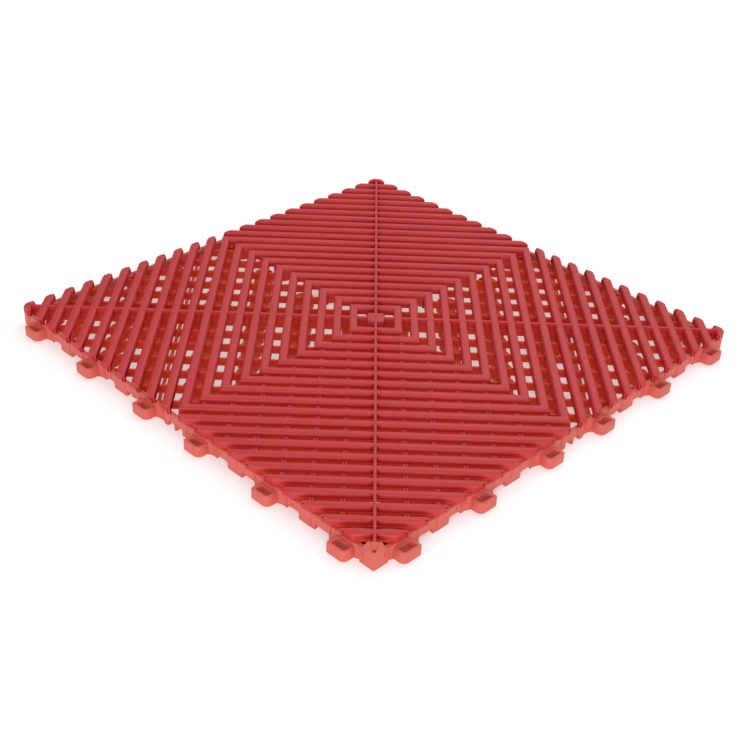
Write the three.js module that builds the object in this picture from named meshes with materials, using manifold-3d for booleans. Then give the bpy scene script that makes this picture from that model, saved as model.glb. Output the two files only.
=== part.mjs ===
// Rigid interlocking ventilated floor tile, one moulding, divided into its named features.
// Millimetres, +Z up. X and Y run along the tile's edges, and the origin is on the floor under its middle.
// The ribs lie on the diagonals: the south east, north east, north west and south west quadrants each
// carry ribs square to their own corner, and the innermost ones close into mitred rings.
import * as THREE from "three";
import { mergeVertices } from "three/addons/utils/BufferGeometryUtils.js";
import Module from "manifold-3d";

const wasm = await Module();
wasm.setup();

// Driving dimensions
const tileSize = 400;
const tileHeight = 18;
const ribPitch = 13;
const ribWidth = 7;
const ribShoulder = 2.5;
const ribBase = 11.75; // underside of the ribs, and top of the lattice and the edge walls
const ribChannelWidth = 3.4;
const ribChannelTop = 15.5;
const ringCount = 10;
const fieldRibCount = 11;
const gap = 0.3; // split line between two features
const ribProud = 0.5; // how far the rib ends stand out from the wall faces
const wallThickness = 2.5;
const cornerLength = 12.5;
const mainSpineWidth = 3; // south east to north west
const crossSpineWidth = 2; // south west to north east
const centreBlockSize = 13.3;
const latticeDivisions = 14; // lattice cells from the centre to a corner
const latticeWall = 2;
const latticeBase = 5.5;
const legWidth = 8;
const loopStations = [-174.8, -102.5, -30.2, 30.2, 102.5, 174.8];
const loopLength = 15.6;
const loopDepth = 9.5;
const loopBase = 0.5;
const loopTop = 9;
const loopSlot = { start: -5.3, end: 5.7, near: 1.7, far: 7.5 };
const latchStep = { length: 3, top: 5.5 };
const archHalfWidth = 6.7;
const archHeight = 5;
const archSpacing = 22; // from a loop's centre to the arch on each side of it
const middleArch = { centre: 4.75, halfWidth: 3.75 };
const pocketHalfWidth = 8.7; // takes the neighbouring tile's loop
const pocketTop = 9.5;
const pegBase = 1.5;
const pegLength = 7.2;
const pegShift = -1.3; // the peg stands clear of the latch step
const pegInset = { outer: 1.5, inner: 6.7 }; // from the tile's edge
const cornerHoleRadius = 1.3;

// Derived dimensions
const half = tileSize / 2;
const wallFace = half - ribProud;
const wallInner = wallFace - wallThickness;
const halfDiagonal = half * Math.SQRT2;
const latticePitch = halfDiagonal / latticeDivisions;
const tiePitch = 2 * latticePitch;
const latticeReach = (wallInner + wallFace - cornerLength) / Math.SQRT2 - gap;
const firstRib = halfDiagonal / 2 - (ringCount - 0.5) * ribPitch;
const ribOffset = (index) => firstRib + index * ribPitch;
const lastRib = ringCount + fieldRibCount - 1;

const plastic = { roughness: 0.5, metalness: 0 };
const ribRed = new THREE.MeshStandardMaterial({ color: 0xc24549, ...plastic });
const wallRed = new THREE.MeshStandardMaterial({ color: 0xd9685c, ...plastic });
const latticeRed = new THREE.MeshStandardMaterial({ color: 0xa61408, ...plastic });

// A merged, closed solid from a three.js geometry. Lathes and mirrored outlines can come out
// inside out, so a negative volume has its faces turned over.
function solid(geometry) {
  geometry.deleteAttribute("normal");
  geometry.deleteAttribute("uv");
  const merged = mergeVertices(geometry, 1e-5);
  const vertProperties = new Float32Array(merged.attributes.position.array);
  const triVerts = new Uint32Array(merged.index.array);
  if (signedVolume(vertProperties, triVerts) < 0) {
    for (let i = 0; i < triVerts.length; i += 3) {
      [triVerts[i], triVerts[i + 1]] = [triVerts[i + 1], triVerts[i]];
    }
  }
  return new wasm.Manifold(new wasm.Mesh({ numProp: 3, vertProperties, triVerts }));
}

function signedVolume(positions, triangles) {
  const corner = (i) => new THREE.Vector3().fromArray(positions, 3 * triangles[i]);
  let volume = 0;
  for (let i = 0; i < triangles.length; i += 3) {
    volume += corner(i).dot(corner(i + 1).cross(corner(i + 2))) / 6;
  }
  return volume;
}

function mesh(name, shape, material) {
  const { vertProperties, triVerts } = shape.getMesh();
  const geometry = new THREE.BufferGeometry();
  geometry.setAttribute("position", new THREE.BufferAttribute(new Float32Array(vertProperties), 3));
  geometry.setIndex(new THREE.BufferAttribute(new Uint32Array(triVerts), 1));
  const piece = new THREE.Mesh(geometry, material);
  piece.name = name;
  return piece;
}

function block(x0, x1, y0, y1, z0, z1) {
  const geometry = new THREE.BoxGeometry(x1 - x0, y1 - y0, z1 - z0);
  return geometry.translate((x0 + x1) / 2, (y0 + y1) / 2, (z0 + z1) / 2);
}

// A block laid along the diagonal at the given angle, from one distance out to another.
function spoke(angle, from, to, width, z0, z1) {
  return solid(block(from, to, -width / 2, width / 2, z0, z1).rotateZ(angle));
}

function joined(solids) {
  return solids.reduce((sum, next) => sum.add(next));
}

// Closed outline of a rib's section: flat top with sloped shoulders, open channel underneath.
function ribSection(offset) {
  const side = ribWidth / 2;
  const channel = ribChannelWidth / 2;
  const shoulder = tileHeight - ribShoulder;
  const outline = new THREE.Path();
  outline.moveTo(offset + channel, ribBase);
  outline.lineTo(offset + side, ribBase);
  outline.lineTo(offset + side, shoulder);
  outline.absarc(offset + side - ribShoulder, shoulder, ribShoulder, 0, Math.PI / 2, false);
  outline.lineTo(offset - side + ribShoulder, tileHeight);
  outline.absarc(offset - side + ribShoulder, shoulder, ribShoulder, Math.PI / 2, Math.PI, false);
  outline.lineTo(offset - side, ribBase);
  outline.lineTo(offset - channel, ribBase);
  outline.lineTo(offset - channel, ribChannelTop);
  outline.lineTo(offset + channel, ribChannelTop);
  outline.lineTo(offset + channel, ribBase);
  return outline.getPoints(1);
}

// A lathe of four segments is a square ring with mitred corners, here on the X and Y axes.
function squareRing(offset) {
  const cornerPoints = ribSection(offset).map((p) => new THREE.Vector2(p.x * Math.SQRT2, p.y));
  return solid(new THREE.LatheGeometry(cornerPoints, 4).rotateX(Math.PI / 2));
}

const quadrants = [
  { name: "north_east", x: 1, y: 1, angle: Math.PI / 4, spine: crossSpineWidth },
  { name: "north_west", x: -1, y: 1, angle: 3 * Math.PI / 4, spine: mainSpineWidth },
  { name: "south_west", x: -1, y: -1, angle: 5 * Math.PI / 4, spine: crossSpineWidth },
  { name: "south_east", x: 1, y: -1, angle: 7 * Math.PI / 4, spine: mainSpineWidth },
];

function quadrantBox(quadrant, inner, outer) {
  const [x0, x1] = [quadrant.x * inner, quadrant.x * outer].sort((a, b) => a - b);
  const [y0, y1] = [quadrant.y * inner, quadrant.y * outer].sort((a, b) => a - b);
  return solid(block(x0, x1, y0, y1, 0, tileHeight));
}

function centreBlock() {
  const size = centreBlockSize / 2;
  return solid(block(-size, size, -size, size, 0, tileHeight).rotateZ(Math.PI / 4));
}

// A ring with four short lengths of spine that reach inwards to the ring or block inside it.
function ringRib(index) {
  const offset = ribOffset(index);
  const inside = index === 0 ? centreBlockSize / 2 : ribOffset(index - 1) + ribWidth / 2;
  const overlap = 1.5;
  const bars = quadrants.map((quadrant) => spoke(quadrant.angle, inside + gap,
    offset - ribWidth / 2 + overlap, quadrant.spine, ribBase, tileHeight));
  return joined([squareRing(offset), ...bars]);
}

// The straight ribs from the rings out to a corner, joined by their spine.
function ribField(quadrant) {
  const isLoopCorner = quadrant.name === "south_east";
  const outermost = isLoopCorner ? lastRib - 1 : lastRib;
  const start = ribOffset(ringCount - 1) + ribWidth / 2 + gap;
  const end = isLoopCorner ? ribOffset(lastRib) - ribWidth / 2 : ribOffset(lastRib);
  const pieces = [spoke(quadrant.angle, start, end, quadrant.spine, ribBase, tileHeight)];
  for (let index = ringCount; index <= outermost; index += 1) {
    pieces.push(squareRing(ribOffset(index)).intersect(quadrantBox(quadrant, 0, half)));
  }
  return joined(pieces);
}

// Cross walls run out from the middle and carry the ribs. Tie walls run parallel to the ribs, four
// lattice pitches apart, and legs stand under them at every second cross wall.
function latticeWalls(quadrant) {
  const pieces = [];
  for (let line = -latticeDivisions + 1; line < latticeDivisions; line += 1) {
    const across = line * latticePitch;
    const wall = block(0, latticeReach, across - latticeWall / 2, across + latticeWall / 2,
      latticeBase, ribBase);
    pieces.push(solid(wall.rotateZ(quadrant.angle)));
  }
  for (let line = 1; line < latticeDivisions / 2; line += 2) {
    const offset = line * tiePitch;
    pieces.push(spoke(quadrant.angle, offset - latticeWall / 2, offset + latticeWall / 2,
      2 * halfDiagonal, latticeBase, ribBase));
    const reach = Math.min(line - 1, latticeDivisions / 2 - 1 - line);
    for (let step = -reach; step <= reach; step += 1) {
      const across = step * tiePitch;
      const leg = block(offset - legWidth / 2, offset + legWidth / 2,
        across - legWidth / 2, across + legWidth / 2, 0, latticeBase);
      pieces.push(solid(leg.rotateZ(quadrant.angle)));
    }
  }
  return pieces;
}

// The lattice stops short of the peg sides, which leaves the pockets free for the next tile's loops.
function supportLattice(quadrant) {
  const inset = wallInner - gap;
  const clearance = centreBlockSize / 2 + gap;
  const centreHole = solid(block(-clearance, clearance, -clearance, clearance, 0, tileHeight)
    .rotateZ(Math.PI / 4));
  const pocketDepth = half - loopDepth - gap;
  const reach = {
    x: quadrant.x > 0 ? inset : pocketDepth,
    y: quadrant.y > 0 ? pocketDepth : inset,
  };
  const limits = block(0, reach.x, 0, reach.y, 0, tileHeight).scale(quadrant.x, quadrant.y, 1);
  return largestBody(joined(latticeWalls(quadrant)).subtract(centreHole).intersect(solid(limits)));
}

// The tile's edges cut a few short wall ends off the lattice, and those are left out.
function largestBody(shape) {
  return shape.decompose().reduce((best, next) => (next.volume() > best.volume() ? next : best));
}

// Sides are drawn with their outer face towards +Y and turned into place.
// mirror keeps the loops' square corners, and the pegs that meet them, on the same side of each joint.
const loopSides = [
  { name: "south", angle: Math.PI, mirror: -1 },
  { name: "east", angle: -Math.PI / 2, mirror: 1 },
];
const pegSides = [
  { name: "north", angle: 0, mirror: 1 },
  { name: "west", angle: Math.PI / 2, mirror: -1 },
];

function onSide(side, geometry) {
  geometry.scale(side.mirror, 1, 1);
  return solid(geometry.applyMatrix4(quarterTurn(side.angle)));
}

// Whole quarter turns with no rounding, so that faces that meet stay on the same plane.
function quarterTurn(angle) {
  const c = Math.round(Math.cos(angle));
  const s = Math.round(Math.sin(angle));
  return new THREE.Matrix4().set(c, -s, 0, 0, s, c, 0, 0, 0, 0, 1, 0, 0, 0, 0, 1);
}

// A wall's outline seen from outside, with arches cut up from the floor.
function wallOutline(openings) {
  const end = wallFace - cornerLength - gap;
  const shape = new THREE.Shape();
  shape.moveTo(-end, 0);
  for (const { centre, halfWidth, height, round } of openings) {
    const left = centre - halfWidth;
    const right = centre + halfWidth;
    shape.lineTo(left, 0);
    shape.lineTo(left, height - round);
    shape.absarc(left + round, height - round, round, Math.PI, Math.PI / 2, true);
    shape.lineTo(right - round, height);
    shape.absarc(right - round, height - round, round, Math.PI / 2, 0, true);
    shape.lineTo(right, 0);
  }
  shape.lineTo(end, 0);
  shape.lineTo(end, ribBase);
  shape.lineTo(-end, ribBase);
  shape.closePath();
  return shape;
}

function edgeWall(side, openings) {
  const settings = { depth: wallThickness, bevelEnabled: false, curveSegments: 2 };
  const geometry = new THREE.ExtrudeGeometry(wallOutline(openings), settings);
  geometry.rotateX(Math.PI / 2).translate(0, wallFace, 0);
  return onSide(side, geometry);
}

function loopSideArches() {
  const round = 1.5;
  const arches = [];
  for (const station of loopStations.filter((at) => at > 0)) {
    for (const centre of [station - archSpacing, station + archSpacing]) {
      const inRange = centre > archSpacing / 2 && centre < half - archSpacing;
      if (inRange) arches.push({ centre, halfWidth: archHalfWidth, height: archHeight, round });
    }
  }
  arches.push({ ...middleArch, height: archHeight, round });
  const mirrored = arches.map((arch) => ({ ...arch, centre: -arch.centre }));
  return [...arches, ...mirrored].sort((a, b) => a.centre - b.centre);
}

function pegSidePockets() {
  return loopStations.map((centre) => (
    { centre, halfWidth: pocketHalfWidth, height: pocketTop, round: 1 }
  ));
}

// One connector loop: a flat eye with a slot, one full round corner and a step for the peg to catch.
function loop(side, station) {
  const [left, right] = [-loopLength / 2, loopLength / 2];
  const smallRound = 0.6;
  const bigRound = 4.5;
  const slotRound = 1.2;
  const shape = new THREE.Shape();
  shape.moveTo(left, 0);
  shape.lineTo(right, 0);
  shape.lineTo(right, loopDepth - bigRound);
  shape.absarc(right - bigRound, loopDepth - bigRound, bigRound, 0, Math.PI / 2, false);
  shape.lineTo(left + smallRound, loopDepth);
  shape.lineTo(left, loopDepth - smallRound);
  shape.closePath();
  const slot = new THREE.Path();
  slot.moveTo(loopSlot.start, loopSlot.near);
  slot.lineTo(loopSlot.start, loopSlot.far);
  slot.lineTo(loopSlot.end - slotRound, loopSlot.far);
  slot.absarc(loopSlot.end - slotRound, loopSlot.far - slotRound, slotRound, Math.PI / 2, 0, true);
  slot.lineTo(loopSlot.end, loopSlot.near);
  slot.closePath();
  shape.holes.push(slot);
  const settings = { depth: loopTop - loopBase, bevelEnabled: false, curveSegments: 4 };
  const eye = new THREE.ExtrudeGeometry(shape, settings).translate(station, wallFace, loopBase);
  const overlap = 0.5;
  const step = block(station + loopSlot.end - latchStep.length, station + loopSlot.end + overlap,
    wallFace + loopSlot.near - overlap, wallFace + loopSlot.far + overlap, loopBase, latchStep.top);
  return onSide(side, eye).add(onSide(side, step));
}

// One peg, which hangs in its pocket and drops into the neighbouring tile's loop.
function peg(side, station) {
  const x0 = station + pegShift - pegLength / 2;
  const x1 = x0 + pegLength;
  const inner = half - pegInset.inner;
  const shank = block(x0, x1, inner, wallInner - gap, pegBase, ribBase);
  const foot = block(x0, x1, inner, half - pegInset.outer, pegBase, pocketTop);
  return onSide(side, shank).add(onSide(side, foot));
}

// An L of wall at a corner, from the floor to the underside of the ribs.
function cornerPost(quadrant) {
  const start = wallFace - cornerLength;
  const shape = new THREE.Shape();
  shape.moveTo(start, wallInner);
  shape.lineTo(wallInner, wallInner);
  shape.lineTo(wallInner, start);
  shape.lineTo(wallFace, start);
  shape.lineTo(wallFace, wallFace);
  shape.lineTo(start, wallFace);
  shape.closePath();
  const geometry = new THREE.ExtrudeGeometry(shape, { depth: ribBase, bevelEnabled: false });
  return solid(geometry.scale(quadrant.x, quadrant.y, 1));
}

// The corner between the two loop sides: a solid post whose top falls away to the corner, with a small hole.
function loopCornerBlock(quadrant) {
  const start = wallFace - cornerLength;
  const capEdge = (ribOffset(lastRib) - ribWidth / 2 + gap) * Math.SQRT2 - wallFace;
  const slopeDrop = 5;
  const post = new THREE.Shape();
  post.moveTo(start, wallInner);
  post.lineTo(wallInner, start);
  post.lineTo(wallFace, start);
  post.lineTo(wallFace, wallFace);
  post.lineTo(start, wallFace);
  post.closePath();
  const cap = new THREE.Shape();
  cap.moveTo(capEdge, wallFace);
  cap.lineTo(wallFace, capEdge);
  cap.lineTo(wallFace, wallFace);
  cap.closePath();
  const lower = new THREE.ExtrudeGeometry(post, { depth: ribBase, bevelEnabled: false });
  const upper = new THREE.ExtrudeGeometry(cap, { depth: tileHeight, bevelEnabled: false });
  const reach = halfDiagonal - capEdge / Math.SQRT2 - wallFace / Math.SQRT2;
  const cutter = block(0, 4 * reach, -tileHeight, tileHeight, 0, tileHeight)
    .rotateY(Math.atan2(slopeDrop, reach))
    .translate(halfDiagonal - reach + 1, 0, tileHeight)
    .rotateZ(quadrant.angle);
  const hole = new THREE.CylinderGeometry(cornerHoleRadius, cornerHoleRadius, 3 * tileHeight, 12)
    .rotateX(Math.PI / 2)
    .translate(quadrant.x * (wallInner - 0.3), quadrant.y * (wallInner - 0.3), 0);
  return solid(lower.scale(quadrant.x, quadrant.y, 1))
    .add(solid(upper.scale(quadrant.x, quadrant.y, 1)))
    .subtract(solid(cutter))
    .subtract(solid(hole));
}

const tile = new THREE.Group();
tile.add(mesh("centre_block", centreBlock(), ribRed));
for (let index = 0; index < ringCount; index += 1) {
  tile.add(mesh(`ring_rib_${String(index + 1).padStart(2, "0")}`, ringRib(index), ribRed));
}
for (const quadrant of quadrants) {
  const isLoopCorner = quadrant.name === "south_east";
  const corner = isLoopCorner ? loopCornerBlock(quadrant) : cornerPost(quadrant);
  tile.add(mesh(`${quadrant.name}_rib_field`, ribField(quadrant), ribRed));
  tile.add(mesh(`${quadrant.name}_support_lattice`, supportLattice(quadrant), latticeRed));
  tile.add(mesh(`${quadrant.name}_corner_post`, corner, wallRed));
}
for (const side of loopSides) {
  tile.add(mesh(`${side.name}_edge_wall`, edgeWall(side, loopSideArches()), wallRed));
  loopStations.forEach((station, index) => {
    tile.add(mesh(`${side.name}_connector_loop_${index + 1}`, loop(side, station), wallRed));
  });
}
for (const side of pegSides) {
  tile.add(mesh(`${side.name}_edge_wall`, edgeWall(side, pegSidePockets()), wallRed));
  loopStations.forEach((station, index) => {
    tile.add(mesh(`${side.name}_connector_peg_${index + 1}`, peg(side, station), wallRed));
  });
}

export default tile;
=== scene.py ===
import math

import bmesh
import bpy
from mathutils import Matrix, Vector


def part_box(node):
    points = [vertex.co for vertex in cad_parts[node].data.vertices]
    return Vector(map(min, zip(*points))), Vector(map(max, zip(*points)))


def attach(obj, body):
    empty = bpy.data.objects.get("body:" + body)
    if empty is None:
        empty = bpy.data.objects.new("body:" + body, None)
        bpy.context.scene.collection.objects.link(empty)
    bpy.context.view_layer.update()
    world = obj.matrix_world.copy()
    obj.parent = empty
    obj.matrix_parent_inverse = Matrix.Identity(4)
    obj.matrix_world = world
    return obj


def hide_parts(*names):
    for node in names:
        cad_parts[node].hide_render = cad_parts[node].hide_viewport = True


# Red interlocking ventilated floor tile. Sizes below are millimetres, finishPiece turns a mesh into metres.
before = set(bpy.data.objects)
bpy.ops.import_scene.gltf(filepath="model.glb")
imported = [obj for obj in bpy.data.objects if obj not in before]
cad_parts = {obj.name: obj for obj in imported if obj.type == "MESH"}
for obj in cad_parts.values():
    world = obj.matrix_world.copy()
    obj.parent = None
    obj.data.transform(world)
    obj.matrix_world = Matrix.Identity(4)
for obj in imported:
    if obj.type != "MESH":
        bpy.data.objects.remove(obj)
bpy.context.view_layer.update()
root2 = math.sqrt(2)
ringCount = 10
lastRib = 20


def nodeBox(node):
    low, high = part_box(node)
    return low * 1000, high * 1000


def centreOf(node):
    low, high = nodeBox(node)
    return (low + high) / 2


rib = {"width": 7.0, "round": 2.4, "roundSteps": 6, "channelWidth": 3.4, "channelTop": 15.5, "endRound": 0.7}
rib["top"] = nodeBox("ring_rib_01")[1].z
rib["base"] = nodeBox("ring_rib_01")[0].z

firstOffset = nodeBox("ring_rib_01")[1].x / root2 - rib["width"] / 2
outerOffset = nodeBox("ring_rib_10")[1].x / root2 - rib["width"] / 2
ribPitch = (outerOffset - firstOffset) / (ringCount - 1)
half = nodeBox("north_east_rib_field")[1].x
wallFace = nodeBox("east_edge_wall")[1].x
halfDiagonal = half * root2

quadrants = {
    "north_east": {"angle": math.radians(45), "spine": 2.0, "pinched": False},
    "north_west": {"angle": math.radians(135), "spine": 2.1, "pinched": True},
    "south_west": {"angle": math.radians(225), "spine": 2.0, "pinched": False},
    "south_east": {"angle": math.radians(315), "spine": 2.1, "pinched": True},
}
sides = {"south": Matrix(((1, 0, 0, 0), (0, -1, 0, 0), (0, 0, 1, 0), (0, 0, 0, 1))),
         "east": Matrix(((0, 1, 0, 0), (-1, 0, 0, 0), (0, 0, 1, 0), (0, 0, 0, 1))),
         "north": Matrix.Identity(4),
         "west": Matrix(((0, -1, 0, 0), (-1, 0, 0, 0), (0, 0, 1, 0), (0, 0, 0, 1)))}


def ribOffset(index):
    return firstOffset + index * ribPitch


# Shape helpers

def block(mesh, x, y, z, soften=0.0, angle=0.0):
    # x, y and z are (low, high) pairs, and angle turns the block about the tile's middle
    size = Matrix.Diagonal((x[1] - x[0], y[1] - y[0], z[1] - z[0], 1))
    place = Matrix.Translation(((x[0] + x[1]) / 2, (y[0] + y[1]) / 2, (z[0] + z[1]) / 2))
    made = bmesh.ops.create_cube(mesh, size=1, matrix=Matrix.Rotation(angle, 4, "Z") @ place @ size)
    if soften:
        edges = list({edge for vert in made["verts"] for edge in vert.link_edges})
        bmesh.ops.bevel(mesh, geom=edges, offset=soften, affect="EDGES", segments=2, profile=0.5, material=-1)


def prism(mesh, outline, z, rounds=()):
    # an upright prism on a plan outline; rounds gives (corner number, radius) pairs
    verts = [mesh.verts.new((x, y, z[0])) for x, y in outline]
    face = mesh.faces.new(verts)
    for corner, radius in rounds:
        bmesh.ops.bevel(mesh, geom=[verts[corner]], offset=radius, affect="VERTICES", segments=6,
                        profile=0.5, material=-1)
    face = next(f for f in mesh.faces if all(abs(v.co.z - z[0]) < 1e-6 for v in f.verts))
    made = bmesh.ops.extrude_face_region(mesh, geom=[face], use_keep_orig=True)
    raised = [item for item in made["geom"] if isinstance(item, bmesh.types.BMVert)]
    bmesh.ops.translate(mesh, verts=raised, vec=(0, 0, z[1] - z[0]))
    bmesh.ops.recalc_face_normals(mesh, faces=mesh.faces)


def meshObject(name, mesh):
    data = bpy.data.meshes.new(name)
    mesh.to_mesh(data)
    mesh.free()
    piece = bpy.data.objects.new(name, data)
    bpy.context.scene.collection.objects.link(piece)
    return piece


def combine(mesh, cutter, operation):
    # joins or cuts one closed mesh with another and gives the result as a new bmesh
    base = meshObject("baseShape", mesh)
    tool = meshObject("toolShape", cutter)
    change = base.modifiers.new("combine", "BOOLEAN")
    change.operation = operation
    change.solver = "EXACT"
    change.use_self = True
    change.object = tool
    result = bmesh.new()
    result.from_object(base, bpy.context.evaluated_depsgraph_get())
    for used in (base, tool):
        data = used.data
        bpy.data.objects.remove(used)
        bpy.data.meshes.remove(data)
    return result


def softenEdges(mesh, width, steps=2, minimum=40):
    sharp = [edge for edge in mesh.edges if edge.is_manifold
             and edge.calc_face_angle(0) > math.radians(minimum)]
    bmesh.ops.bevel(mesh, geom=sharp, offset=width, affect="EDGES", segments=steps, profile=0.5,
                    material=-1, clamp_overlap=True)


def finishPiece(mesh, node, material):
    words = node.split("_")
    name = words[0] + "".join(word.capitalize() for word in words[1:])
    bmesh.ops.remove_doubles(mesh, verts=mesh.verts, dist=0.002)
    bmesh.ops.recalc_face_normals(mesh, faces=mesh.faces)
    for edge in mesh.edges:
        edge.smooth = edge.calc_face_angle(0) < math.radians(38)
    for face in mesh.faces:
        face.smooth = True
    bmesh.ops.scale(mesh, vec=(0.001, 0.001, 0.001), verts=mesh.verts)
    piece = meshObject(name, mesh)
    piece.data.materials.append(material)
    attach(piece, "root")
    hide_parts(node)
    return piece


# Materials

def linearColour(hexCode):
    channels = [int(hexCode[i:i + 2], 16) / 255 for i in (1, 3, 5)]
    return [c / 12.92 if c <= 0.04045 else ((c + 0.055) / 1.055) ** 2.4 for c in channels] + [1.0]


def addNode(material, kind, settings=None, links=None):
    # settings are node properties or input values, links are input name: output socket
    node = material.node_tree.nodes.new(kind)
    for key, value in (settings or {}).items():
        if hasattr(node, key):
            setattr(node, key, value)
        else:
            node.inputs[key].default_value = value
    for key, socket in (links or {}).items():
        material.node_tree.links.new(socket, node.inputs[key])
    return node


def mouldedPolypropylene(name, look):
    # Injection-moulded polypropylene: pigmented through, slightly waxy and see-through at thin edges, with
    # a fine spark-eroded mould grain. The grain is really about 0.1 mm, drawn coarser so that it shows.
    material = bpy.data.materials.new(name)
    material.use_nodes = True
    material.node_tree.nodes.clear()
    place = addNode(material, "ShaderNodeTexCoord").outputs["Object"]
    flow = addNode(material, "ShaderNodeTexNoise", {"Scale": 1000 / look["flowSize"], "Detail": 3.0},
                   {"Vector": place})
    grain = addNode(material, "ShaderNodeTexNoise", {"Scale": 1000 / look["grainSize"], "Detail": 2.0},
                    {"Vector": place})
    tint = addNode(material, "ShaderNodeMix", {"data_type": "RGBA"}, {"Factor": flow.outputs["Fac"]})
    tint.inputs[6].default_value = linearColour(look["dark"])
    tint.inputs[7].default_value = linearColour(look["light"])
    worn = addNode(material, "ShaderNodeMapRange", {"To Min": look["roughness"] - 0.07,
                   "To Max": look["roughness"] + 0.07}, {"Value": grain.outputs["Fac"]})
    bump = addNode(material, "ShaderNodeBump", {"Strength": look["bump"], "Distance": 0.0001},
                   {"Height": grain.outputs["Fac"]})
    shader = addNode(material, "ShaderNodeBsdfPrincipled",
                     {"IOR": 1.49, "Specular IOR Level": look["shine"], "Subsurface Weight": look["glow"], "Subsurface Scale": 0.002,
                      "Subsurface Radius": (1.0, 0.12, 0.08)},
                     {"Base Color": tint.outputs[2], "Roughness": worn.outputs["Result"],
                      "Normal": bump.outputs["Normal"]})
    addNode(material, "ShaderNodeOutputMaterial", None, {"Surface": shader.outputs["BSDF"]})
    return material


ribLook = {"dark": "#bf0c12", "light": "#ca141a", "roughness": 0.58, "flowSize": 45, "grainSize": 0.8,
           "bump": 0.35, "glow": 0.1, "shine": 0.85}
# Walls, loops, pegs and corner posts are given a lighter salmon red than the ribs. This is painted reflection: the
# lighter tone stands in for the bright front light and white floor reflected in the walls that face the camera.
wallPaintedReflectionLook = {"dark": "#d0584a", "light": "#da6456", "roughness": 0.55, "flowSize": 30, "grainSize": 0.8,
            "bump": 0.35, "glow": 0.1, "shine": 0.6}
# The support lattice is given a lighter, more orange red than the ribs. This is painted light: the tone stands in for
# light from the white floor below falling on the lattice walls.
latticePaintedFloorLightLook = {"dark": "#d8360a", "light": "#e6460e", "roughness": 0.55, "flowSize": 30, "grainSize": 0.9,
               "bump": 0.3, "glow": 0.1, "shine": 0.4}
ribPlastic = mouldedPolypropylene("redPolypropyleneRibs", ribLook)
wallPaintedReflectionPlastic = mouldedPolypropylene("redPolypropyleneWallsPaintedReflection", wallPaintedReflectionLook)
latticePaintedFloorLightPlastic = mouldedPolypropylene("redPolypropyleneLatticePaintedFloorLight", latticePaintedFloorLightLook)
print("materials made")


lattice = {"divisions": 14, "wall": 2.2, "top": rib["base"] + 0.05, "base": 5.5, "legTop": 8.5,
           "legWall": 1.6, "legShift": 5.5, "tieAt": 156.6, "tieWall": 1.2, "tieTop": 9.0,
           "legRows": ((19.5, 8), (59.8, 8.3), (97, 8.3), (134.2, 7.8), (172.8, 7.1), (203.3, 7.4), (240.8, 5.8),
                       (259.2, 7.5)),
           "gateLegs": (144.5, 184.5), "gateRadius": 5.8, "skirt": 5.0, "ledge": 0.8, "ledgeBase": 12.4, "ledgeTop": 14.0}
latticePitch = halfDiagonal / lattice["divisions"]


# Ribs

def ribProfile(mesh, offset, channelled):
    # one rib's section on the X Z plane, with rounded shoulders, and for a ring an open channel below
    side = rib["width"] / 2
    channel = rib["channelWidth"] / 2
    rightHalf = [(side, rib["base"]), (side, rib["top"])]
    if channelled:
        rightHalf = [(channel, rib["channelTop"]), (channel, rib["base"])] + rightHalf
    outline = rightHalf + [(-x, z) for x, z in reversed(rightHalf)]
    verts = [mesh.verts.new((offset + x, 0, z)) for x, z in outline]
    face = mesh.faces.new(verts)
    shoulders = [vert for vert in verts if vert.co.z > rib["top"] - 0.001]
    bmesh.ops.bevel(mesh, geom=shoulders, offset=rib["round"], affect="VERTICES",
                    segments=rib["roundSteps"], profile=0.5, material=-1)
    return [f for f in mesh.faces if all(abs(v.co.y) < 1e-6 for v in f.verts)]


def squareRing(offset):
    # a full spin in four steps gives a square ring with mitred corners on the X and Y axes
    mesh = bmesh.new()
    face = ribProfile(mesh, offset, True)
    bmesh.ops.delete(mesh, geom=face, context="FACES_ONLY")
    bmesh.ops.scale(mesh, vec=(root2, 1, 1), verts=mesh.verts)
    bmesh.ops.spin(mesh, geom=mesh.verts[:] + mesh.edges[:], cent=(0, 0, 0), axis=(0, 0, 1),
                   angle=math.tau, steps=4, use_merge=True)
    bmesh.ops.remove_doubles(mesh, verts=mesh.verts, dist=0.001)
    bmesh.ops.recalc_face_normals(mesh, faces=mesh.faces)
    return mesh


def straightRib(offset):
    # a long bar in the quadrant's own frame, where X points to the corner, cut to the tile's two sides
    mesh = bmesh.new()
    face = ribProfile(mesh, offset, False)
    made = bmesh.ops.extrude_face_region(mesh, geom=face, use_keep_orig=True)
    moved = [item for item in made["geom"] if isinstance(item, bmesh.types.BMVert)]
    bmesh.ops.translate(mesh, verts=moved, vec=(0, 2 * half, 0))
    bmesh.ops.translate(mesh, verts=mesh.verts, vec=(0, -half, 0))
    bmesh.ops.recalc_face_normals(mesh, faces=mesh.faces)
    for way in (1, -1):
        outwards = Vector((1, way, 0)) / root2
        cut = bmesh.ops.bisect_plane(mesh, geom=mesh.verts[:] + mesh.edges[:] + mesh.faces[:], dist=1e-5,
                                     plane_co=outwards * half, plane_no=outwards, clear_outer=True)
        rim = [item for item in cut["geom_cut"] if isinstance(item, bmesh.types.BMEdge)]
        bmesh.ops.contextual_create(mesh, geom=rim)
        rim = [edge for edge in rim if edge.is_valid and max(v.co.z for v in edge.verts) > rib["base"] + 1]
        bmesh.ops.bevel(mesh, geom=rim, offset=rib["endRound"], affect="EDGES", segments=3, profile=0.5,
                        material=-1)
    bmesh.ops.recalc_face_normals(mesh, faces=mesh.faces)
    under = [max(mesh.faces, key=lambda face: -face.normal.z * face.calc_area())]
    bmesh.ops.inset_region(mesh, faces=under, thickness=(rib["width"] - rib["channelWidth"]) / 2 + 0.3,
                           use_even_offset=True)
    raised = bmesh.ops.extrude_discrete_faces(mesh, faces=under)["faces"]
    bmesh.ops.translate(mesh, verts=list({v for face in raised for v in face.verts}),
                        vec=(0, 0, rib["channelTop"] - rib["base"]))
    return mesh


dimple = {"reach": 4.2, "depth": 1.9}


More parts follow.
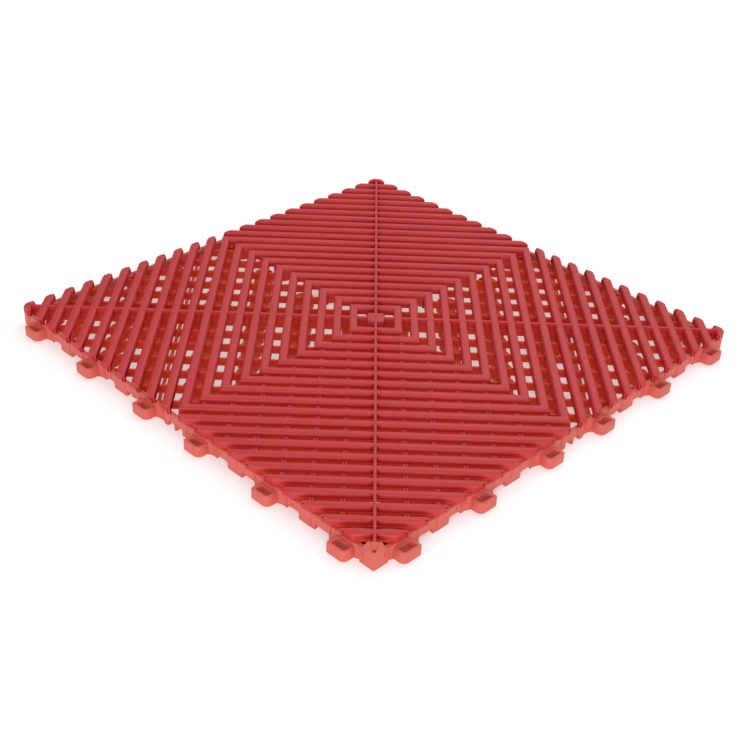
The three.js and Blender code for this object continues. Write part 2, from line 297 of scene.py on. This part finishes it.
def pinchAtSpine(mesh, angle, spineWidth, offset):
    # the rib's sides draw in towards its middle where the spine crosses
    along = Vector((-math.sin(angle), math.cos(angle), 0))
    out = Vector((math.cos(angle), math.sin(angle), 0))
    for shift in (-dimple["reach"], -spineWidth / 2, spineWidth / 2, dimple["reach"]):
        near = [face for face in mesh.faces if face.calc_center_median().dot(out) > 0]
        geom = list({item for face in near for item in [*face.verts, *face.edges, face]})
        bmesh.ops.bisect_plane(mesh, geom=geom, dist=1e-5, plane_co=along * shift, plane_no=along)
    for vert in mesh.verts:
        across = vert.co.dot(out) - offset
        atSpine = abs(vert.co.dot(along)) < spineWidth / 2 + 0.01
        if atSpine and abs(across) < rib["width"] and abs(across) > rib["width"] / 2 - rib["round"] + 0.01:
            share = (abs(across) - rib["width"] / 2 + rib["round"]) / rib["round"]
            vert.co -= out * math.copysign(dimple["depth"] * min(share, 1), across)


def spineBar(mesh, angle, start, end, width):
    block(mesh, (start, end), (-width / 2, width / 2), (rib["base"], rib["top"] + 0.04), 0.25, angle)


gusset = {"spread": 0.9, "width": 0.9, "reach": 1.5, "top": 17.7}


def gussetPairs(mesh, angle, offset, span):
    # two small teeth stand on the rib's inner side wherever a lattice wall passes below it
    inner = offset - rib["width"] / 2
    steps = int((span - 3) // latticePitch)
    for step in range(-steps, steps + 1):
        if step == 0:
            continue
        for way in (-1, 1):
            middle = step * latticePitch + way * gusset["spread"]
            block(mesh, (inner - gusset["reach"], inner + 1.5), (middle - gusset["width"] / 2, middle + gusset["width"] / 2),
                  (rib["base"], gusset["top"]), 0.2, angle)


def appendMesh(target, part, turn=None):
    if turn is not None:
        part.transform(turn)
    data = bpy.data.meshes.new("part")
    part.to_mesh(data)
    part.free()
    target.from_mesh(data)
    bpy.data.meshes.remove(data)


def ringPiece(index):
    offset = ribOffset(index)
    mesh = squareRing(offset)
    inner = 0 if index == 0 else ribOffset(index - 1)
    if index == 0:
        inner = nodeBox("centre_block")[1].x / root2 - 1
    for quadrant in quadrants.values():
        if quadrant["pinched"]:
            pinchAtSpine(mesh, quadrant["angle"], quadrant["spine"], offset)
    for quadrant in quadrants.values():
        spineBar(mesh, quadrant["angle"], inner, offset, quadrant["spine"])
    gussetPairs(mesh, quadrants["south_east"]["angle"], offset, offset - rib["width"])
    node = f"ring_rib_{index + 1:02d}"
    finishPiece(mesh, node, ribPlastic)


def fieldPiece(name, quadrant):
    mesh = bmesh.new()
    last = lastRib - 1 if name == "south_east" else lastRib
    for index in range(ringCount, last + 1):
        offset = ribOffset(index)
        bar = straightRib(offset)
        if quadrant["pinched"]:
            pinchAtSpine(bar, 0, quadrant["spine"], offset)
        if name == "south_east":
            gussetPairs(bar, 0, offset, halfDiagonal - offset)
        appendMesh(mesh, bar)
    end = ribOffset(lastRib) - rib["width"] / 2 if name == "south_east" else ribOffset(lastRib)
    spineBar(mesh, 0, ribOffset(ringCount - 1), end, quadrant["spine"])
    bmesh.ops.create_cone(mesh, cap_ends=True, segments=16, radius1=1.5, radius2=1.2, depth=1,
                          matrix=Matrix.Translation((ribOffset(ringCount), 0, rib["top"] - 0.3)))
    mesh.transform(Matrix.Rotation(quadrant["angle"], 4, "Z"))
    finishPiece(mesh, f"{name}_rib_field", ribPlastic)


for ringIndex in range(ringCount):
    ringPiece(ringIndex)
for quadrantName, quadrantData in quadrants.items():
    fieldPiece(quadrantName, quadrantData)
print("ribs made")

# Centre block, with a small gate mark in its middle
centreBlock = {"size": nodeBox("centre_block")[1].x * 2 / root2, "soften": 0.6, "markRadius": 2.2, "markDepth": 0.5}


def centrePiece():
    mesh = bmesh.new()
    reach = centreBlock["size"] / 2
    block(mesh, (-reach, reach), (-reach, reach), (0, rib["top"] + 0.05), centreBlock["soften"], math.radians(45))
    cutter = bmesh.new()
    top = Matrix.Translation((0, 0, rib["top"] + 0.05))
    bmesh.ops.create_cone(cutter, cap_ends=True, segments=20, radius1=centreBlock["markRadius"] * 0.5,
                          radius2=centreBlock["markRadius"], depth=2 * centreBlock["markDepth"], matrix=top)
    mesh = combine(mesh, cutter, "DIFFERENCE")
    bmesh.ops.create_cone(mesh, cap_ends=True, segments=16, radius1=0.8, radius2=0.5, depth=1.2,
                          matrix=Matrix.Translation((0, 0, rib["top"] - 0.3)))
    finishPiece(mesh, "centre_block", ribPlastic)


centrePiece()

# Support lattice under the ribs

def legCup(mesh, x, y, radius):
    # a round hollow foot, open below
    steps = 16
    made = bmesh.ops.create_cone(mesh, cap_ends=True, segments=steps, radius1=radius,
                                 radius2=radius - 0.3, depth=lattice["legTop"],
                                 matrix=Matrix.Translation((x, y, lattice["legTop"] / 2)))
    under = [face for face in {f for v in made["verts"] for f in v.link_faces} if face.normal.z < -0.9]
    bmesh.ops.inset_region(mesh, faces=under, thickness=lattice["legWall"], use_even_offset=True)
    raised = bmesh.ops.extrude_discrete_faces(mesh, faces=under)["faces"]
    bmesh.ops.translate(mesh, verts=raised[0].verts, vec=(0, 0, lattice["legTop"] - lattice["legWall"]))


def latticePiece(name, quadrant):
    mesh = bmesh.new()
    reach = (wallFace - 1.5) * root2
    for line in range(-lattice["divisions"] + 1, lattice["divisions"]):
        across = line * latticePitch
        start = max(abs(across) - lattice["wall"] / 2, centreBlock["size"] / 2 - 0.5)
        end = reach - abs(across)
        if end - start > 4:
            block(mesh, (start, end), (across - lattice["wall"] / 2, across + lattice["wall"] / 2),
                  (lattice["base"], lattice["top"]), 0.3)
    if quadrant["pinched"]:
        for index in range(lastRib):
            outer = ribOffset(index) + rib["width"] / 2
            span = min(outer, reach - outer) - 2
            block(mesh, (outer - 0.5, outer + lattice["ledge"]), (-span, span),
                  (lattice["ledgeBase"], lattice["ledgeTop"]), 0.15)
    tieLength = reach - lattice["tieAt"] - 1
    block(mesh, (lattice["tieAt"] - lattice["tieWall"] / 2, lattice["tieAt"] + lattice["tieWall"] / 2),
          (-tieLength, tieLength), (lattice["base"] - 2.5, lattice["tieTop"]), 0.2)
    if quadrant["pinched"]:
        block(mesh, (reach - 16, reach - 4), (-7, 7), (lattice["base"], lattice["tieTop"]), 0.2)
        inner = wallFace - 2.5
        for way in (-1, 1):
            along = sorted((-way * 12, -way * (inner - 3)))
            block(mesh, (inner - lattice["skirt"], inner), along, (lattice["base"], lattice["tieTop"]), 0.2,
                  way * math.radians(45))
    shift = 0 if quadrant["pinched"] else math.copysign(lattice["legShift"], math.cos(quadrant["angle"]))
    for row, radius in lattice["legRows"]:
        for line in range(-lattice["divisions"], lattice["divisions"] + 1):
            across = line * latticePitch + shift
            limit = row - 6 if quadrant["pinched"] else row + 3
            if abs(across) < limit and abs(across) + row < reach - radius * root2 + 1:
                legCup(mesh, row, across, radius)
    if not quadrant["pinched"]:
        for row in lattice["gateLegs"]:
            for across in (shift, shift - math.copysign(latticePitch, shift)):
                legCup(mesh, row, across, lattice["gateRadius"])
    mesh.transform(Matrix.Rotation(quadrant["angle"], 4, "Z"))
    finishPiece(mesh, f"{name}_support_lattice", latticePaintedFloorLightPlastic)


for quadrantName, quadrantData in quadrants.items():
    latticePiece(quadrantName, quadrantData)
print("lattice made")

# Edge walls. Each is drawn with its outer face towards +Y and turned to its side.
wall = {"thickness": 3.2, "top": nodeBox("east_edge_wall")[1].z, "soften": 0.3, "archHeight": 5.0,
        "archHalf": 6.7, "archSpacing": 22, "archRound": 1.5, "pocketHalf": 8.7, "pocketTop": 9.5,
        "pilasterProud": 0.4, "pilasterWidth": 9.4, "scoopRadius": 9.0, "scoopDepth": 1.6, "scoopShift": 13.0}
cornerLength = nodeBox("north_east_corner_post")[1].x - nodeBox("north_east_corner_post")[0].x
wallEnd = wallFace - cornerLength
stations = [centreOf(f"north_connector_peg_{i}").x + 1.3 for i in range(1, 7)]


def wallOutline(mesh, openings):
    # the wall seen from outside: arches and pockets are cut up from the floor
    outline = [(-wallEnd, 0)]
    roundAt = []
    for low, high, top in openings:
        roundAt += [len(outline) + 1, len(outline) + 2]
        outline += [(low, 0), (low, top), (high, top), (high, 0)]
    outline += [(wallEnd, 0), (wallEnd, wall["top"]), (-wallEnd, wall["top"])]
    verts = [mesh.verts.new((x, wallFace - wall["thickness"], z)) for x, z in outline]
    mesh.faces.new(verts)
    bmesh.ops.bevel(mesh, geom=[verts[i] for i in roundAt], offset=wall["archRound"], affect="VERTICES",
                    segments=4, profile=0.5, material=-1)
    made = bmesh.ops.extrude_face_region(mesh, geom=mesh.faces[:], use_keep_orig=True)
    moved = [item for item in made["geom"] if isinstance(item, bmesh.types.BMVert)]
    bmesh.ops.translate(mesh, verts=moved, vec=(0, wall["thickness"], 0))
    bmesh.ops.recalc_face_normals(mesh, faces=mesh.faces)


def loopSideOpenings():
    openings = []
    for station in stations:
        for way in (-1, 1):
            centre = station + way * wall["archSpacing"]
            if wall["archSpacing"] / 2 < abs(centre) < wallEnd - 10:
                openings.append((centre - wall["archHalf"], centre + wall["archHalf"], wall["archHeight"]))
    openings += [(-8.5, -1, wall["archHeight"]), (1, 8.5, wall["archHeight"])]
    return sorted(openings)


def pegSideOpenings():
    return [(s - wall["pocketHalf"], s + wall["pocketHalf"], wall["pocketTop"]) for s in stations]


def pilasters(openings):
    # a shallow strip runs down the wall from each rib end
    mesh = bmesh.new()
    span = wall["pilasterWidth"] / 2
    for index in range(lastRib):
        for way in (-1, 1):
            centre = way * (half - ribOffset(index) * root2)
            if abs(centre) + span > wallEnd:
                continue
            low = max([top for a, b, top in openings if a - 1 < centre + span and b + 1 > centre - span] + [-0.1])
            if low > 8:
                low = wall["top"] - 1
            low = max(low, 0.1) + 0.2
            block(mesh, (centre - span, centre + span), (wallFace - 1, wallFace + wall["pilasterProud"]),
                  (low, wall["top"] + 0.3))
    return mesh


def wallPiece(side):
    hasLoops = side in ("south", "east")
    openings = loopSideOpenings() if hasLoops else pegSideOpenings()
    mesh = bmesh.new()
    wallOutline(mesh, openings)
    mesh = combine(mesh, pilasters(openings), "UNION")
    if hasLoops:
        cutter = bmesh.new()
        for station in stations:
            place = (station + wall["scoopShift"], wallFace + wall["scoopRadius"] - wall["scoopDepth"], 5)
            bmesh.ops.create_cone(cutter, cap_ends=True, segments=40, radius1=wall["scoopRadius"],
                                  radius2=wall["scoopRadius"], depth=12.8, matrix=Matrix.Translation(place))
        mesh = combine(mesh, cutter, "DIFFERENCE")
    softenEdges(mesh, wall["soften"])
    mesh.transform(sides[side])
    finishPiece(mesh, f"{side}_edge_wall", wallPaintedReflectionPlastic)


for sideName in sides:
    wallPiece(sideName)
print("walls made")

# Connector loops and pegs
loop = {"length": 15.6, "depth": nodeBox("east_connector_loop_1")[1].x - wallFace, "base": 0.5, "top": 9.0,
        "bigRound": 4.5, "smallRound": 0.6, "slot": (-5.3, 5.7, 1.7, 7.5), "stepLength": 3.0, "stepTop": 5.5,
        "soften": 0.45}
peg = {"length": 7.2, "shift": -1.3, "inner": 6.7, "outer": 1.5, "base": 1.5, "soften": 0.4}


def loopShape(station):
    left, right = station - loop["length"] / 2, station + loop["length"] / 2
    inner, outer = wallFace - 0.4, wallFace + loop["depth"]
    mesh = bmesh.new()
    prism(mesh, [(left, inner), (right, inner), (right, outer), (left, outer)], (loop["base"], loop["top"]),
          [(2, loop["bigRound"]), (3, loop["smallRound"])])
    start, end, near, far = loop["slot"]
    cutter = bmesh.new()
    prism(cutter, [(station + start, wallFace + near), (station + end, wallFace + near),
                   (station + end, wallFace + far), (station + start, wallFace + far)],
          (loop["base"] - 1, loop["top"] + 1), [(2, 1.2)])
    mesh = combine(mesh, cutter, "DIFFERENCE")
    softenEdges(mesh, loop["soften"])
    block(mesh, (station + end - loop["stepLength"], station + end + 0.6),
          (wallFace + near - 0.6, wallFace + far + 0.6), (loop["base"] + 0.3, loop["stepTop"]), 0.3)
    return mesh


def pegShape(station):
    mesh = bmesh.new()
    low = station + peg["shift"] - peg["length"] / 2
    block(mesh, (low, low + peg["length"]), (half - peg["inner"], half - peg["outer"]),
          (peg["base"], wall["pocketTop"] + 1.5), peg["soften"])
    block(mesh, (low, low + peg["length"]), (half - peg["inner"], wallFace - 0.5), (wall["pocketTop"] - 1, wall["top"]), 0.2)
    return mesh


for sideName, turn in sides.items():
    hasLoops = sideName in ("south", "east")
    kind = "connector_loop" if hasLoops else "connector_peg"
    for number in range(1, 7):
        centre = turn.inverted() @ centreOf(f"{sideName}_{kind}_{number}")
        shape = loopShape(centre.x) if hasLoops else pegShape(centre.x - peg["shift"])
        shape.transform(turn)
        finishPiece(shape, f"{sideName}_{kind}_{number}", wallPaintedReflectionPlastic)
print("connectors made")

# Corner posts
cornerBlock = {"capEdge": (ribOffset(lastRib) - rib["width"] / 2) * root2 - wallFace, "shoulder": 3.7,
               "chuteWide": 3.5, "holeRadius": 1.35, "holeInset": 2.9, "soften": 0.25}


def cornerPost(name):
    signX = 1 if "east" in name else -1
    signY = 1 if "north" in name else -1
    inner = wallFace - wall["thickness"]
    start = wallEnd
    mesh = bmesh.new()
    prism(mesh, [(start, inner), (inner, inner), (inner, start), (wallFace, start), (wallFace, wallFace),
                 (start, wallFace)], (0, wall["top"]), [(4, 1.5)])
    softenEdges(mesh, wall["soften"])
    mesh.transform(Matrix.Diagonal((signX, signY, 1, 1)))
    finishPiece(mesh, f"{name}_corner_post", wallPaintedReflectionPlastic)


def cutAbove(mesh, point, first, second):
    # cuts away what lies above the plane through a point and two directions, and closes the cut
    normal = Vector(first).cross(Vector(second)).normalized()
    if normal.z < 0:
        normal = -normal
    cut = bmesh.ops.bisect_plane(mesh, geom=mesh.verts[:] + mesh.edges[:] + mesh.faces[:], dist=1e-5,
                                 plane_co=point, plane_no=normal, clear_outer=True)
    rim = [item for item in cut["geom_cut"] if isinstance(item, bmesh.types.BMEdge)]
    bmesh.ops.contextual_create(mesh, geom=rim)


def loopCornerBlock():
    # the corner between the two loop sides: a sunk chute narrows from the cap's edge to a small hole by
    # the tip, with a steep facet on each side of it down to the top of the walls
    mesh = bmesh.new()
    edge = cornerBlock["capEdge"]
    prism(mesh, [(edge, wallFace), (wallFace, edge), (wallFace, wallFace)], (0, rib["top"]), [(2, 0.9)])
    mesh.transform(Matrix.Rotation(math.radians(-45), 4, "Z"))
    tip = wallFace * root2
    capStart = tip - (wallFace - edge) / root2
    low = wall["top"] + 0.2
    end = Vector((tip, 0, low))
    for way in (-1, 1):
        along = Vector((-1, way, 0))
        shoulder = Vector((capStart + 0.2, way * cornerBlock["shoulder"], rib["top"]))
        cutAbove(mesh, end, along, shoulder - end)
    chute = bmesh.new()
    holeAt = tip - cornerBlock["holeInset"]
    narrow, wide = cornerBlock["holeRadius"], cornerBlock["chuteWide"] + 0.3
    prism(chute, [(capStart - 0.6, wide), (capStart - 0.6, -wide), (holeAt, -narrow), (holeAt, narrow)],
          (low + 0.9, rib["top"] + 5))
    highEnd = [vert for vert in chute.verts if vert.co.x < capStart and vert.co.z < rib["top"]]
    bmesh.ops.translate(chute, verts=highEnd, vec=(0, 0, rib["top"] - 0.3 - low - 0.9))
    mesh = combine(mesh, chute, "DIFFERENCE")
    mesh.transform(Matrix.Rotation(math.radians(45), 4, "Z"))
    post = bmesh.new()
    inner = wallFace - wall["thickness"]
    prism(post, [(wallEnd, inner), (inner, wallEnd), (wallFace, wallEnd), (wallFace, wallFace),
                 (wallEnd, wallFace)], (0, wall["top"]), [(3, 0.9)])
    mesh = combine(mesh, post, "UNION")
    hole = bmesh.new()
    middle = (tip - cornerBlock["holeInset"]) / root2
    bmesh.ops.create_cone(hole, cap_ends=True, segments=24, radius1=cornerBlock["holeRadius"],
                          radius2=cornerBlock["holeRadius"], depth=60, matrix=Matrix.Translation((middle, middle, 0)))
    mesh = combine(mesh, hole, "DIFFERENCE")
    softenEdges(mesh, cornerBlock["soften"], minimum=20)
    mesh.transform(Matrix.Diagonal((1, -1, 1, 1)))
    finishPiece(mesh, "south_east_corner_post", wallPaintedReflectionPlastic)


for postName in ("north_east", "north_west", "south_west"):
    cornerPost(postName)
loopCornerBlock()
print("corner posts made")


# Stage, lights and camera
def paleFloor():
    material = bpy.data.materials.new("paleFloor")
    material.use_nodes = True
    shader = material.node_tree.nodes["Principled BSDF"]
    shader.inputs["Base Color"].default_value = (0.8, 0.8, 0.8, 1)
    shader.inputs["Roughness"].default_value = 0.9
    shader.inputs["Emission Color"].default_value = (1, 1, 1, 1)
    shader.inputs["Emission Strength"].default_value = 0.36
    mesh = bmesh.new()
    bmesh.ops.create_grid(mesh, x_segments=1, y_segments=1, size=6)
    floor = meshObject("floor", mesh)
    floor.data.materials.append(material)


def softbox(name, place, size, power):
    lamp = bpy.data.lights.new(name, "AREA")
    lamp.size = size
    lamp.energy = power
    light = bpy.data.objects.new(name, lamp)
    light.location = place
    light.rotation_euler = (-Vector(place)).to_track_quat("-Z", "Y").to_euler()
    bpy.context.scene.collection.objects.link(light)


def studio():
    world = bpy.data.worlds.new("studio")
    bpy.context.scene.world = world
    world.use_nodes = True
    world.node_tree.nodes["Background"].inputs["Color"].default_value = (1, 1, 1, 1)
    world.node_tree.nodes["Background"].inputs["Strength"].default_value = 0.5
    softbox("backSoftbox", (-0.3, 1.0, 1.6), 2.2, 16)
    softbox("frontSoftbox", (1.3, -1.5, 0.7), 1.4, 18)


view = {"place": (0.5732, -0.5969, 0.4888), "aim": (0.0629, -0.0634, 0.018), "roll": 2.68, "lens": 56.87,
        "rise": 0.0024}


def camera():
    lens = bpy.data.cameras.new("camera")
    lens.lens = view["lens"]
    lens.shift_y = view["rise"]
    lens.sensor_width = 36
    eye = bpy.data.objects.new("camera", lens)
    look = (Vector(view["aim"]) - Vector(view["place"])).to_track_quat("-Z", "Y").to_matrix().to_4x4()
    eye.matrix_world = Matrix.Translation(view["place"]) @ look @ Matrix.Rotation(math.radians(view["roll"]), 4, "Z")
    bpy.context.scene.collection.objects.link(eye)
    bpy.context.scene.camera = eye


paleFloor()
studio()
camera()
bpy.context.scene.view_settings.view_transform = "Standard"
print("stage set")
